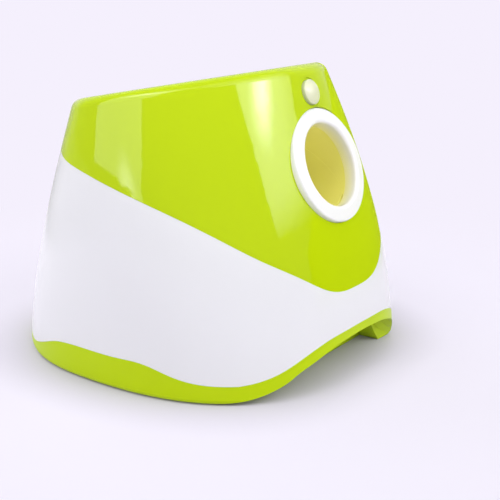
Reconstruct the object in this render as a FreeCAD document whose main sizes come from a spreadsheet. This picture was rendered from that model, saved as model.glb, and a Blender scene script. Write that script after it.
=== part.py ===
import FreeCAD, Part
import math
import os
import re
import Sketcher

# Automatic ball launcher. Millimetres, +Z up, the launch hole faces -Y.
# The origin is under the middle of the body, on the surface it stands on.
# Left is the -X side, as seen by someone who faces the launch hole.

os.makedirs("parts", exist_ok=True)
doc = FreeCAD.newDocument("ball_launcher")
sheet = doc.addObject("Spreadsheet::Sheet", "sizes")
V = FreeCAD.Vector
X_AXIS, Y_AXIS, Z_AXIS = V(1, 0, 0), V(0, 1, 0), V(0, 0, 1)
LEVELS = ("floor", "waist", "shoulder", "crown")
SIDES = (("left", -1), ("right", 1))


class Sizes:
    """The sheet's values by name, for shapes and places worked out here."""


size = Sizes()


def add_size(name, value):
    row = len(vars(size)) + 1
    sheet.set(f"A{row}", name.replace("_", " "))
    sheet.set(f"B{row}", repr(value))
    sheet.setAlias(f"B{row}", name)
    setattr(size, name, value)


# --- Driving sizes ---------------------------------------------------------

# Body form: half outlines at four heights, level_step apart.
add_size("level_step", 80.0)
add_size("half_width_floor", 131.5)
add_size("half_width_waist", 135.9)
add_size("half_width_shoulder", 126.3)
add_size("half_width_crown", 101.0)
add_size("front_reach_floor", 142.9)
add_size("front_reach_waist", 132.5)
add_size("front_reach_shoulder", 108.7)
add_size("front_reach_crown", 80.7)
add_size("back_reach_floor", 144.7)
add_size("back_reach_waist", 111.3)
add_size("back_reach_shoulder", 81.3)
add_size("back_reach_crown", 55.0)
add_size("front_corner_floor", 60.5)
add_size("front_corner_waist", 66.9)
add_size("front_corner_shoulder", 66.7)
add_size("front_corner_crown", 65.8)
add_size("back_corner_floor", 64.1)
add_size("back_corner_waist", 51.3)
add_size("back_corner_shoulder", 41.3)
add_size("back_corner_crown", 26.4)
add_size("front_taper", 0.972)
add_size("back_taper", 0.923)
add_size("widest_place", 15.7)
add_size("top_height", 204.5)
add_size("top_slope", 0.184)
add_size("top_rounding", 9.0)
add_size("bottom_rounding", 4.0)

# Shells: wall, joint lip and the gap left between moulded pieces.
add_size("shell_wall", 2.6)
add_size("seam_gap", 0.15)
add_size("lip_height", 5.0)
add_size("lip_wall", 1.4)
add_size("base_floor", 4.0)
add_size("base_wall", 3.0)

# Front arch of the base.
add_size("arch_height", 32.0)
add_size("arch_half_width", 110.0)
add_size("arch_foot_half_width", 65.0)
add_size("arch_depth", 46.0)
add_size("arch_lead", 7.0)
add_size("left_foot_setback", 44.5)
add_size("right_foot_setback", 29.0)
add_size("foot_reach", 89.5)

# Launch hole and barrel: places are counted inwards from the ring's centre.
add_size("barrel_tilt", 21.5)
add_size("ring_height", 151.5)
add_size("ring_radius", 41.9)
add_size("ring_proud", 0.6)
add_size("ring_crown", 2.0)
add_size("ring_seat_depth", 6.0)
add_size("ring_edge_rounding", 1.5)
add_size("ring_lip_rounding", 2.5)
add_size("ring_boss_wall", 4.0)
add_size("barrel_bore_radius", 30.5)
add_size("barrel_wall", 2.5)
add_size("fit_gap", 0.3)
add_size("sleeve_seam_depth", 22.9)
add_size("sleeve_seam_tilt", 30.0)
add_size("barrel_end_depth", 136.0)
add_size("socket_end_depth", 50.0)
add_size("flange_radius", 42.0)
add_size("flange_thickness", 3.0)

# Ball, wheels and motors.
add_size("ball_radius", 25.0)
add_size("wheel_depth", 88.0)
add_size("wheel_spacing", 51.0)
add_size("wheel_radius", 30.0)
add_size("wheel_width", 24.0)
add_size("hub_radius", 22.0)
add_size("shaft_radius", 1.58)
add_size("running_gap", 0.08)
add_size("wing_drop", 17.0)
add_size("wing_thickness", 3.0)
add_size("wing_half_width", 87.0)
add_size("wing_margin", 7.0)
add_size("post_inset", 8.0)
add_size("post_wall", 3.2)
add_size("thread_depth", 6.0)
add_size("motor_radius", 18.0)
add_size("motor_length", 50.0)
add_size("motor_boss_radius", 5.0)
add_size("motor_boss_height", 2.0)
add_size("motor_cap_height", 5.0)
add_size("motor_cap_inset", 4.0)
add_size("motor_screw_place", 9.0)
add_size("motor_thread_depth", 5.0)
add_size("shaft_depth", 8.5)
add_size("terminal_thickness", 0.8)
add_size("terminal_width", 3.0)
add_size("terminal_height", 5.5)
add_size("terminal_place", 8.0)
add_size("hub_rim_thickness", 4.0)
add_size("hub_rim_inset", 1.0)
add_size("hub_half_web", 2.0)
add_size("hub_collar_wall", 3.5)
add_size("hub_collar_rise", 9.0)
add_size("tyre_waist", 1.2)

# Feed arm and its gearmotor, ball switch and its lever.
add_size("feed_pivot_height", 24.0)
add_size("feed_pivot_setback", 7.5)
add_size("feed_arm_length", 36.0)
add_size("feed_arm_width", 6.0)
add_size("feed_arm_thickness", 4.5)
add_size("feed_arm_setback", 0.75)
add_size("feed_pad_height", 11.0)
add_size("feed_pad_reach", 0.5)
add_size("feed_hub_radius", 6.0)
add_size("feed_hub_length", 8.0)
add_size("feed_shaft_radius", 2.0)
add_size("feed_shaft_length", 20.0)
add_size("feed_slot_width", 9.0)
add_size("feed_slot_margin", 2.0)
add_size("gear_tab_width", 42.0)
add_size("gear_tab_height", 40.0)
add_size("gear_tab_place", 10.0)
add_size("gear_case_width", 20.0)
add_size("gear_case_height", 22.0)
add_size("gear_case_place", 18.5)
add_size("gear_can_radius", 7.5)
add_size("gear_can_length", 18.0)
add_size("switch_width", 6.4)
add_size("switch_length", 20.0)
add_size("switch_height", 10.0)
add_size("switch_drop", 40.0)
add_size("switch_place", 108.0)
add_size("ear_thickness", 1.8)
add_size("ear_width", 7.0)
add_size("lever_place", 100.0)
add_size("lever_drop", 36.0)
add_size("lever_width", 4.0)
add_size("lever_length", 14.0)
add_size("lever_thickness", 0.8)
add_size("lever_hub_radius", 1.3)
add_size("lever_pin_radius", 0.7)
add_size("lever_bump_radius", 3.6)
add_size("lever_bump_setback", 11.0)
add_size("lever_slot_margin", 0.7)
add_size("cheek_thickness", 0.9)
add_size("cheek_height", 7.0)
add_size("cheek_width", 4.4)

# Hopper.
add_size("hopper_inset", 17.0)
add_size("hopper_wall", 2.4)
add_size("hopper_flange", 4.0)
add_size("throat_radius", 28.5)
add_size("throat_top", 164.0)
add_size("throat_lead", 2.0)
add_size("throat_depth", 109.0)

# Power button.
add_size("button_height", 201.5)
add_size("button_radius", 9.0)
add_size("button_gap", 0.25)
add_size("button_dome", 3.2)
add_size("button_travel", 2.0)
add_size("button_recess_radius", 10.8)
add_size("button_recess_depth", 0.8)
add_size("button_rim_width", 1.3)
add_size("button_rim_depth", 3.6)
add_size("button_rim_thickness", 1.4)
add_size("button_wall", 1.5)
add_size("button_crown_rise", 1.6)
add_size("button_crown_wall", 1.2)
add_size("button_stem_radius", 2.0)
add_size("button_stem_end", 5.6)
add_size("button_coil_radius", 5.6)
add_size("button_wire_radius", 0.35)
add_size("button_sleeve_wall", 4.0)
add_size("button_board_depth", 12.0)
add_size("button_board_margin", 2.85)
add_size("button_board_height", 13.0)
add_size("button_post_place", 16.5)
add_size("button_post_radius", 3.0)
add_size("button_screw_radius", 1.1)
add_size("button_screw_head", 2.0)
add_size("button_screw_length", 6.0)
add_size("tact_width", 6.0)
add_size("tact_height", 3.4)
add_size("plunger_radius", 1.7)
add_size("plunger_height", 0.7)

# Battery bay in the sloping back wall, rubber feet, control board, inlet.
add_size("bay_height", 62.0)
add_size("bay_tilt", 21.2)
add_size("bay_half_width", 59.0)
add_size("bay_half_height", 42.0)
add_size("bay_depth", 38.5)
add_size("bay_rim_depth", 9.0)
add_size("bay_wall", 2.0)
add_size("door_gap", 0.5)
add_size("cell_radius", 13.0)
add_size("cell_length", 50.0)
add_size("cell_pitch", 26.6)
add_size("cell_nub_radius", 3.0)
add_size("cell_nub_height", 1.5)
add_size("box_rib_width", 2.0)
add_size("contact_thickness", 0.5)
add_size("contact_width", 14.0)
add_size("contact_coil_radius", 5.0)
add_size("contact_wire_radius", 0.4)
add_size("contact_gap", 0.1)
add_size("hinge_pin_radius", 1.5)
add_size("hinge_knuckle_radius", 3.2)
add_size("hinge_half_length", 24.0)
add_size("foot_pad_radius", 8.0)
add_size("foot_pad_height", 2.8)
add_size("foot_pad_proud", 0.4)
add_size("board_width", 92.0)
add_size("board_length", 58.0)
add_size("board_thickness", 1.6)
add_size("board_clearance", 8.0)
add_size("board_place", 14.0)
add_size("screw_radius", 1.5)
add_size("screw_head_radius", 2.8)
add_size("screw_head_height", 2.0)
add_size("case_post_height", 46.0)
add_size("case_rib_reach", 20.0)
add_size("case_rib_thickness", 2.4)
add_size("case_rib_floor", 26.0)
add_size("case_rib_height", 30.0)
add_size("base_screw_length", 13.0)
add_size("door_screw_inset", 5.0)
add_size("door_screw_length", 11.5)
add_size("door_screw_sink", 0.8)
add_size("box_boss_radius", 3.0)
add_size("box_boss_depth", 3.2)
add_size("box_rib_drop", 4.0)
add_size("hinge_depth", 1.2)
add_size("bay_skirt_wall", 2.0)
add_size("bay_skirt_depth", 14.0)
add_size("door_web_thickness", 2.2)
add_size("door_web_height", 5.0)
add_size("board_post_radius", 3.4)
add_size("board_screw_inset", 5.0)
add_size("inlet_place", 52.0)
add_size("inlet_height", 40.0)
add_size("inlet_radius", 5.5)
add_size("inlet_length", 17.0)
add_size("inlet_bore_radius", 2.9)
add_size("inlet_bore_depth", 11.0)
add_size("inlet_pin_radius", 1.0)
add_size("inlet_pin_length", 9.0)
add_size("inlet_flange", 2.0)
add_size("inlet_flange_thickness", 1.6)
add_size("inlet_sink", 0.8)
add_size("inlet_boss_wall", 5.0)
add_size("inlet_boss_height", 7.0)
add_size("inlet_nut_width", 3.0)
add_size("inlet_nut_height", 2.5)

# Side profile of the joint between the top shell and the body shell: y, z.
SHELL_SEAM = [(170.0, 167.5), (80.0, 162.5), (35.0, 158.1), (-9.1, 147.5), (-39.7, 136.9),
              (-64.9, 125.5), (-87.4, 112.2), (-107.7, 97.6), (-124.1, 83.3),
              (-135.8, 64.7), (-150.0, 32.0)]
# Side profile of the base's top edge, and the hump it makes across the front: x, z.
BASE_EDGE = [(160.0, 9.5), (100.0, 9.5), (83.4, 10.0), (70.9, 13.0), (54.3, 19.0), (41.8, 23.2),
             (26.0, 25.6), (-19.0, 25.9), (-45.7, 24.8), (-60.0, 20.3), (-78.7, 15.6),
             (-100.0, 14.2), (-160.0, 14.2)]
FRONT_HUMP = [(170.0, 10.0), (125.0, 12.0), (110.0, 13.1), (101.0, 14.3), (93.0, 16.1), (85.4, 18.6),
              (78.7, 21.4), (67.8, 26.8), (54.9, 32.2), (39.0, 36.2), (20.0, 37.6), (0.0, 37.9)]


# --- Building blocks -------------------------------------------------------

def cell(expression):
    """An expression with the sheet's name put before each alias."""
    return re.sub(r"[a-z]+(?:_[a-z]+)+", lambda found: "sizes." + found.group(), str(expression))


def place(obj, at=(0, 0, 0), turn=None):
    """Place an object; each coordinate may be an expression of the sheet's names."""
    if turn is not None:
        obj.Placement = FreeCAD.Placement(V(0, 0, 0), turn)
    for axis, value in zip("xyz", at):
        if value != 0:
            obj.setExpression(f"Placement.Base.{axis}", cell(value))
    return obj


def toward(direction):
    return FreeCAD.Rotation(Z_AXIS, direction)


def cylinder(name, radius, height, at=(0, 0, 0), along=Z_AXIS):
    obj = doc.addObject("Part::Cylinder", name)
    obj.setExpression("Radius", cell(radius))
    obj.setExpression("Height", cell(height))
    return place(obj, at, toward(along))


def box(name, length, width, height, at=(0, 0, 0)):
    """A box that is centred on x and y and stands on z."""
    obj = doc.addObject("Part::Box", name)
    obj.setExpression("Length", cell(length))
    obj.setExpression("Width", cell(width))
    obj.setExpression("Height", cell(height))
    corner = (f"({at[0]}) - ({length}) / 2", f"({at[1]}) - ({width}) / 2", at[2])
    return place(obj, corner)


def fuse(name, *pieces):
    obj = doc.addObject("Part::MultiFuse", name)
    obj.Shapes = list(pieces)
    return obj


def common(name, *pieces):
    obj = doc.addObject("Part::MultiCommon", name)
    obj.Shapes = list(pieces)
    return obj


def cut(name, base, *tools):
    obj = doc.addObject("Part::Cut", name)
    obj.Base = base
    obj.Tool = tools[0] if len(tools) == 1 else fuse(name + "_tools", *tools)
    return obj


def feature(name, shape):
    """A free-form shape that Part's primitives cannot give."""
    obj = doc.addObject("Part::Feature", name)
    obj.Shape = shape
    return obj


def turned(name, profile, at=(0, 0, 0), along=Z_AXIS):
    """A lathe-turned body: profile holds radius and height expressions."""
    body = doc.addObject("PartDesign::Body", name)
    plane = [obj for obj in body.Origin.OriginFeatures if obj.Role == "XZ_Plane"][0]
    sketch = body.newObject("Sketcher::SketchObject", name + "_profile")
    sketch.AttachmentSupport = (plane, [""])
    sketch.MapMode = "FlatFace"
    points = [V(*(float(sheet.evalExpression(cell(value))) for value in point), 0) for point in profile]
    count = len(points)
    for index in range(count):
        sketch.addGeometry(Part.LineSegment(points[index], points[(index + 1) % count]), False)
    for index in range(count):
        following = (index + 1) % count
        sketch.addConstraint(Sketcher.Constraint("Coincident", index, 2, following, 1))
        for kind, value, number in zip(("DistanceX", "DistanceY"), profile[index], points[index]):
            label = f"{kind}_{index}"
            row = sketch.addConstraint(Sketcher.Constraint(kind, -1, 1, index, 1, number))
            sketch.renameConstraint(row, label)
            sketch.setExpression(f"Constraints.{label}", cell(value))
    revolution = body.newObject("PartDesign::Revolution", name + "_turning")
    revolution.Profile = sketch
    revolution.ReferenceAxis = (sketch, ["V_Axis"])
    revolution.Angle = 360
    sketch.Visibility = False
    return place(body, at, toward(along))


def round_edges(body, radius, test):
    """Fillet the body's edges whose bounding box passes the test."""
    doc.recompute()
    base = body.Tip
    names = [f"Edge{number}" for number, edge in enumerate(base.Shape.Edges, 1) if test(edge.BoundBox)]
    fillet = body.newObject("PartDesign::Fillet", f"{body.Name}_rounding_{len(body.Group)}")
    fillet.Base = (base, names)
    fillet.setExpression("Radius", cell(radius))
    body.Tip = fillet
    return body


nodes = []


def node(obj, label, placement=None):
    """Name a finished piece, and put it in its frame."""
    if placement is not None:
        obj.Placement = placement
    obj.Label = label
    nodes.append(obj)
    return obj


# --- Body form -------------------------------------------------------------

def blend(height):
    """Weights of the four levels at a height, by cubic interpolation."""
    step = height / size.level_step
    weights = []
    for own in range(4):
        others = [other for other in range(4) if other != own]
        weights.append(math.prod((step - other) / (own - other) for other in others))
    return weights


def outline(height, inset=0.0):
    """Twelve spline poles of the body's level outline, inset from the skin."""
    def at_height(name):
        return sum(weight * getattr(size, f"{name}_{level}")
                   for weight, level in zip(blend(height), LEVELS))
    half_width = at_height("half_width") - inset
    front = at_height("front_reach") - inset
    back = at_height("back_reach") - inset
    front_corner = at_height("front_corner")
    back_corner = at_height("back_corner")
    wide_front = half_width * size.front_taper
    wide_back = half_width * size.back_taper
    half = [(0, -front), (wide_front - front_corner, -front), (wide_front, front_corner - front),
            (half_width, size.widest_place), (wide_back, back - back_corner),
            (wide_back - back_corner, back), (0, back)]
    mirrored = [(-x, y) for x, y in half[-2:0:-1]]
    return half + mirrored


def skin_surface(rows):
    """A smooth surface, closed round, through four rows of poles."""
    columns = []
    for first, second, third, last in zip(*rows):
        lower = (first * -5 + second * 18 - third * 9 + last * 2) * (1 / 6)
        upper = (first * 2 - second * 9 + third * 18 - last * 5) * (1 / 6)
        columns.append([first, lower, upper, last])
    count = len(columns)
    surface = Part.BSplineSurface()
    surface.buildFromPolesMultsKnots(columns, [1] * (count + 1), [4, 4],
                                     list(range(count + 1)), [0, 1], True, False, 3, 3)
    return surface


def closed_solid(sides, rings):
    """A solid from side surfaces, closed with a flat face on each ring of curves."""
    ends = [Part.Face(Part.Wire([curve.toShape() for curve in ring])) for ring in rings]
    shell = Part.Shell([side.toShape() for side in sides] + ends)
    shell.sewShape()
    solid = Part.Solid(shell)
    if solid.Volume < 0:
        solid.reverse()
    return solid


def form(inset):
    rows = [[V(x, y, height) for x, y in outline(height, inset)]
            for height in (level * size.level_step for level in range(4))]
    surface = skin_surface(rows)
    return closed_solid([surface], [[surface.vIso(end)] for end in (0, 1)])


def top_plane(y, drop=0.0):
    return size.top_height - size.top_slope * y - drop


def under_top(solid, drop):
    """Cut a solid along the sloping top, lowered by a drop."""
    reach = 2 * size.front_reach_floor
    ends = [V(-reach, y, top_plane(y, drop)) for y in (-reach, reach)]
    corners = ends + [V(-reach, reach, 2 * reach), V(-reach, -reach, 2 * reach)]
    above = Part.Face(Part.makePolygon(corners + corners[:1])).extrude(V(2 * reach, 0, 0))
    return solid.cut(above)


def above_level(solid, level):
    reach = 2 * size.front_reach_floor
    below = Part.makeBox(2 * reach, 2 * reach, reach, V(-reach, -reach, level - reach))
    return solid.cut(below)


def flat_edges(solid, low, high):
    return [edge for edge in solid.Edges if low < edge.BoundBox.ZMin and edge.BoundBox.ZMax < high
            and edge.BoundBox.XLength > size.half_width_crown]


def rounded_top(solid, radius):
    return solid.makeFillet(radius, flat_edges(solid, size.throat_top, 2 * size.top_height))


def curve(points):
    spline = Part.BSplineCurve()
    spline.interpolate([V(*point) for point in points])
    return spline.toShape()


def side_prism(profile, rise=0.0):
    """Everything below a side profile (y, z), right across the body."""
    reach = 1.5 * size.half_width_waist
    depth = -size.front_reach_floor
    top = curve([(-reach, y, z + rise) for y, z in profile])
    first, last = profile[0], profile[-1]
    sides = Part.makePolygon([V(-reach, last[0], last[1] + rise), V(-reach, last[0], depth),
                              V(-reach, first[0], depth), V(-reach, first[0], first[1] + rise)])
    return Part.Face(Part.Wire([top] + sides.Edges)).extrude(V(2 * reach, 0, 0))


def front_prism(profile, near, far, rise=0.0):
    """Everything below a front profile (x, z), mirrored about the middle plane."""
    whole = [(-x, z) for x, z in profile[:-1]] + [(x, z) for x, z in profile[::-1]]
    depth = -size.front_reach_floor
    top = curve([(x, near, z + rise) for x, z in whole])
    reach = whole[-1][0]
    end = whole[-1][1] + rise
    sides = Part.makePolygon([V(reach, near, end), V(reach, near, depth),
                              V(-reach, near, depth), V(-reach, near, end)])
    return Part.Face(Part.Wire([top] + sides.Edges)).extrude(V(0, far - near, 0))


# Half of the arch's edge, and of the steeper hollow between its feet, in shares of width and height.
ARCH_EDGE = ((0, 1), (0.28, 0.945), (0.415, 0.845), (0.515, 0.73), (0.613, 0.585), (0.69, 0.415),
             (0.76, 0.29), (0.855, 0.155), (0.936, 0.07), (1.0, 0.02))
BETWEEN_FEET = ((0, 1), (0.40, 0.985), (0.62, 0.86), (0.77, 0.6), (0.88, 0.3), (0.96, 0.1), (1.0, 0.02))
# The right foot's round nose: the arch's share of its width, at shares of the way back to the foot.
FOOT_NOSE = ((1.0, 0.55), (0.96, 0.74), (0.88, 0.88), (0.78, 0.96))


def arch_section(left_half, right_half, y, grow):
    """A closed section of the arch that runs down past the floor. Each half gives a width and an edge."""
    height = size.arch_height + grow
    left_width, left_edge = left_half
    right_width, right_edge = right_half
    left = [(-(left_width + grow) * x, y, height * z) for x, z in left_edge[:0:-1]]
    right = [((right_width + grow) * x, y, height * z) for x, z in right_edge]
    top = curve(left + right)
    base = -size.arch_height
    sides = Part.makePolygon([V(*right[-1]), V(right[-1][0], y, base), V(left[0][0], y, base), V(*left[0])])
    return Part.Wire([top] + sides.Edges)


def arch_solid(grow):
    """The hollow under the front: wide ahead of the feet, narrow between them."""
    front = -size.front_reach_floor - size.arch_lead
    wide = (size.arch_half_width, ARCH_EDGE)
    narrow = (size.arch_foot_half_width, BETWEEN_FEET)
    before_feet = front + size.left_foot_setback + grow
    round_foot = [arch_section(wide, (share * size.arch_half_width, ARCH_EDGE),
                               front + depth * size.right_foot_setback, grow) for share, depth in FOOT_NOSE]
    middle = Part.makeLoft([arch_section(wide, wide, front, grow)] + round_foot
                           + [arch_section(wide, narrow, front + size.right_foot_setback + grow, grow),
                              arch_section(wide, narrow, before_feet, grow),
                              arch_section(narrow, narrow, front + size.arch_depth + grow, grow)], True, True)
    whole = Part.makeLoft([arch_section(wide, wide, front, grow),
                           arch_section(wide, wide, before_feet + size.left_foot_setback, grow)], True, True)
    feet = Part.makeBox(4 * size.foot_reach, 4 * size.left_foot_setback, 4 * size.arch_height,
                        V(grow - size.foot_reach, front, -2 * size.arch_height))
    return middle.fuse(whole.cut(feet))


def reach_along(solid, start, direction):
    """Distance from a point inside a solid to its skin."""
    line = Part.makeLine(start, start + direction * 2 * size.half_width_waist)
    inside = solid.common(line)
    return max(start.distanceToPoint(vertex.Point) for vertex in inside.Vertexes)


def coil(radius, wire, turns, height):
    """A round-wire spring that stands on its origin, its turns in short straight runs."""
    runs_per_turn = 10
    steps = runs_per_turn * turns
    points = []
    for step in range(steps + 1):
        turn = 2 * math.pi * step / runs_per_turn
        rise = wire + (height - 2 * wire) * step / steps
        points.append(V(radius * math.cos(turn), radius * math.sin(turn), rise))
    section = Part.Wire([Part.makeCircle(wire, points[0], points[1] - points[0])])
    return Part.makePolygon(points).makePipeShell([section], True, False, 1)


# Master solids of the moulded cases.
outer = above_level(under_top(form(0.0), 0.0), size.foot_pad_proud)
outer = rounded_top(outer, size.top_rounding)
outer = outer.makeFillet(size.bottom_rounding, flat_edges(outer, 0, size.bottom_rounding))
inner = under_top(form(size.shell_wall), size.shell_wall)
inner = rounded_top(inner, size.top_rounding - size.shell_wall)
wall = outer.cut(inner)
below_seam = side_prism(SHELL_SEAM)
front_span = (-2 * size.front_reach_floor, 0.0)
base_zone = side_prism(BASE_EDGE).fuse(front_prism(FRONT_HUMP, *front_span))
above_base = side_prism(BASE_EDGE, size.seam_gap).fuse(
    front_prism(FRONT_HUMP, *front_span, size.seam_gap))
outer_form = feature("outer_form", outer)
inner_form = feature("inner_form", inner)

# Frames: along the barrel, behind the button, and on the sloping back wall.
face_y = outline(size.ring_height)[0][1]
barrel = FreeCAD.Placement(V(0, face_y, size.ring_height), FreeCAD.Rotation(X_AXIS, -size.barrel_tilt))
button_y = outline(size.button_height)[0][1]
face_rise = outline(size.button_height + size.ring_proud)[0][1] - button_y
button_tilt = math.degrees(math.atan2(face_rise, size.ring_proud))
button_frame = FreeCAD.Placement(V(0, button_y, size.button_height),
                                 FreeCAD.Rotation(X_AXIS, -button_tilt))
bay_y = outline(size.bay_height)[6][1]
bay = FreeCAD.Placement(V(0, bay_y, size.bay_height), FreeCAD.Rotation(X_AXIS, size.bay_tilt))
inlet_x = reach_along(outer, V(0, size.inlet_place, size.inlet_height), X_AXIS)
inlet_frame = FreeCAD.Placement(V(inlet_x, size.inlet_place, size.inlet_height),
                                FreeCAD.Rotation(Y_AXIS, -90))
# In the barrel's frame: straight up, and square to the slanting sleeve seam.
tilt = math.radians(size.barrel_tilt)
seam = math.radians(size.sleeve_seam_tilt)
upright = V(0, -math.sin(tilt), math.cos(tilt))
seam_normal = V(0, math.cos(seam), -math.sin(seam))
for name, value in (("barrel_start_y", face_y), ("button_start_y", button_y), ("bay_start_y", bay_y),
                    ("inlet_start_x", inlet_x)):
    add_size(name, round(value, 3))
doc.recompute()


def grouped(name, placement, *pieces):
    """Several solids in one placed group, as a node or as a cutting tool."""
    obj = doc.addObject("Part::Compound", name)
    obj.Links = list(pieces)
    obj.Placement = placement
    return obj


def screw(name, length, at=(0, 0, 0), along=Z_AXIS):
    """A pan-head screw: the head's seat is at its place and the shank runs on."""
    profile = [(0, "-screw_head_height"), ("screw_head_radius", "-screw_head_height"),
               ("screw_head_radius", 0), ("screw_radius", 0), ("screw_radius", length), (0, length)]
    return turned(name, profile, at, along)


HERE = FreeCAD.Placement()


# --- Launch ring, sleeve and barrel ----------------------------------------

# A turned piece's height runs inwards along the barrel; these undo that for points.
BARREL_TURN = FreeCAD.Placement(V(0, 0, 0), toward(Y_AXIS))
SPOKE_RADIUS = "(barrel_bore_radius + 2 * barrel_wall + 2 * fit_gap + screw_head_radius)"
RING_SPOKES = [(f"{SPOKE_RADIUS} * {math.cos(turn):.6f}", f"{SPOKE_RADIUS} * {math.sin(turn):.6f}")
               for turn in (math.radians(angle) for angle in (90, 210, 330))]
# The turned ring's y runs down in the barrel's frame, so its spokes are mirrored here.
RING_SPOKES_ACROSS = [(x, f"-({y})") for x, y in RING_SPOKES]


def ring():
    profile = [("barrel_bore_radius", "-ring_proud - ring_crown"), ("ring_radius", "-ring_proud"),
               ("ring_radius", "ring_seat_depth"),
               ("barrel_bore_radius + barrel_wall", "ring_seat_depth"),
               ("barrel_bore_radius + barrel_wall", "ring_seat_depth + shell_wall"),
               ("barrel_bore_radius", "ring_seat_depth + shell_wall")]
    body = turned("ring", profile)

    def edge_at(radius, height):
        return lambda bound: abs(bound.ZMin - height) < 0.01 and bound.ZLength < 0.01 \
            and abs(bound.XLength / 2 - radius) < 0.01
    round_edges(body, "ring_edge_rounding", edge_at(size.ring_radius, -size.ring_proud))
    round_edges(body, "ring_lip_rounding",
                edge_at(size.barrel_bore_radius, -size.ring_proud - size.ring_crown))
    holes = [cylinder(f"ring_screw_hole_{number}", "screw_radius", "flange_thickness",
                      (*spoke, "ring_seat_depth - flange_thickness"))
             for number, spoke in enumerate(RING_SPOKES)]
    return node(cut("ring_drilled", body, *holes), "launch_ring", barrel * BARREL_TURN)


def seam_side(name, offset, sign):
    """Everything behind (+1) or ahead (-1) of the slanting seam."""
    return cylinder(name, "2 * flange_radius", "barrel_end_depth",
                    (0, f"sleeve_seam_depth + {offset}", 0), seam_normal * sign)


def sleeve():
    start = "ring_seat_depth + shell_wall + seam_gap"
    tube = cylinder("sleeve_tube", "barrel_bore_radius + barrel_wall", "socket_end_depth",
                    (0, start, 0), Y_AXIS)
    bore = cylinder("sleeve_bore", "barrel_bore_radius", "2 * socket_end_depth", along=Y_AXIS)
    piece = cut("sleeve_cut", tube, bore, seam_side("sleeve_behind", "0", 1))
    return node(piece, "muzzle_sleeve", barrel)


WING_BASE = "wing_drop + wing_thickness"
WING_BACK = "wheel_radius + 2 * wing_margin - post_inset"
POST_PLACES = [("wing_half_width - post_inset", "wheel_depth - wheel_radius + post_inset"),
               ("wing_half_width - post_inset", f"wheel_depth + {WING_BACK}")]
FEED_PIVOT = ("barrel_end_depth + barrel_wall + feed_pivot_setback", "feed_pivot_height")
LEVER_PIVOT = ("lever_place", "-lever_drop")


def wing_hole(name, radius, x, y):
    """A hole square through a motor wing."""
    return cylinder(name, radius, "3 * wing_thickness", (x, y, f"-({WING_BASE}) - wing_thickness"))


def barrel_frame():
    """The launch barrel with its flange, sleeve socket and motor wings."""
    boss_back = "ring_seat_depth + ring_boss_wall"
    flange = cylinder("flange", "flange_radius", "flange_thickness", (0, boss_back, 0), Y_AXIS)
    socket = cylinder("socket", "barrel_bore_radius + 2 * barrel_wall + fit_gap",
                      f"socket_end_depth - ({boss_back})", (0, boss_back, 0), Y_AXIS)
    tube = cylinder("barrel_tube", "barrel_bore_radius + barrel_wall",
                    "barrel_end_depth + 2 * barrel_wall - socket_end_depth",
                    (0, "socket_end_depth - barrel_wall", 0), Y_AXIS)
    wings = box("wings", "2 * wing_half_width", "2 * wheel_radius + 2 * wing_margin",
                "wing_thickness", (0, "wheel_depth + wing_margin", f"-({WING_BASE})"))
    tab = box("feed_tab", "gear_tab_width", "barrel_wall", "gear_tab_height",
              ("gear_tab_place", "barrel_end_depth + barrel_wall / 2", 0))
    ear_place = "switch_width / 2 + seam_gap + ear_thickness / 2"
    ears = [box(f"sensor_ear_{side}", "ear_thickness", "ear_width",
                "switch_drop + switch_height / 2 - barrel_bore_radius",
                (f"{sign} * ({ear_place})", "lever_place + lever_hub_radius",
                 "-switch_drop - switch_height / 2"))
            for side, sign in SIDES]
    solid = fuse("barrel_solid", flange, socket, tube, wings, tab, *ears)
    bore = cylinder("barrel_bore", "barrel_bore_radius", "barrel_end_depth", along=Y_AXIS)
    pocket = common("sleeve_pocket",
                    cylinder("pocket_bore", "barrel_bore_radius + barrel_wall + seam_gap",
                             "barrel_end_depth", along=Y_AXIS),
                    seam_side("pocket_ahead", "seam_gap", -1))
    windows = [box(f"wheel_window_{side}", "8 * barrel_wall", "2 * wheel_radius - 4 * barrel_wall",
                   "wheel_width + 2 * barrel_wall",
                   (f"{sign} * (barrel_bore_radius + barrel_wall)", "wheel_depth",
                    "-wheel_width / 2 - barrel_wall"))
               for side, sign in SIDES]
    mouth = cylinder("throat_mouth", "throat_radius", "flange_radius + ball_radius",
                     (0, "throat_depth", 0), upright)
    feed_slot = box("feed_slot", "feed_slot_width", "4 * barrel_wall",
                    "feed_arm_length + 2 * feed_slot_margin",
                    (0, "barrel_end_depth + barrel_wall / 2",
                     "feed_pivot_height - feed_arm_length - feed_slot_margin"))
    sensor_slot = box("sensor_slot", "lever_width + 2 * lever_slot_margin",
                      "lever_length + 4 * lever_slot_margin", "2 * barrel_wall + lever_hub_radius",
                      (0, "lever_place + lever_length / 2 + lever_slot_margin", "-lever_drop"))
    holes = []
    for side, sign in SIDES:
        x, y = f"{sign} * wheel_spacing", "wheel_depth"
        holes.append(wing_hole(f"boss_hole_{side}", "motor_boss_radius + fit_gap", x, y))
        for end in (-1, 1):
            holes.append(wing_hole(f"motor_hole_{side}_{end + 1}", "screw_radius + seam_gap",
                                   x, f"{y} + {end} * motor_screw_place"))
        for number, (x, y) in enumerate(POST_PLACES):
            holes.append(wing_hole(f"post_hole_{side}_{number}", "screw_radius + seam_gap",
                                   f"{sign} * ({x})", y))
    spokes = [cylinder(f"flange_hole_{number}", "screw_radius + seam_gap", "3 * flange_thickness",
                       (x, boss_back, z), Y_AXIS)
              for number, (x, z) in enumerate(RING_SPOKES_ACROSS)]
    piece = cut("barrel_cut", solid, bore, pocket, *windows, mouth, feed_slot, sensor_slot,
                *holes, *spokes)
    return node(piece, "launch_barrel", barrel)


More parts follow.
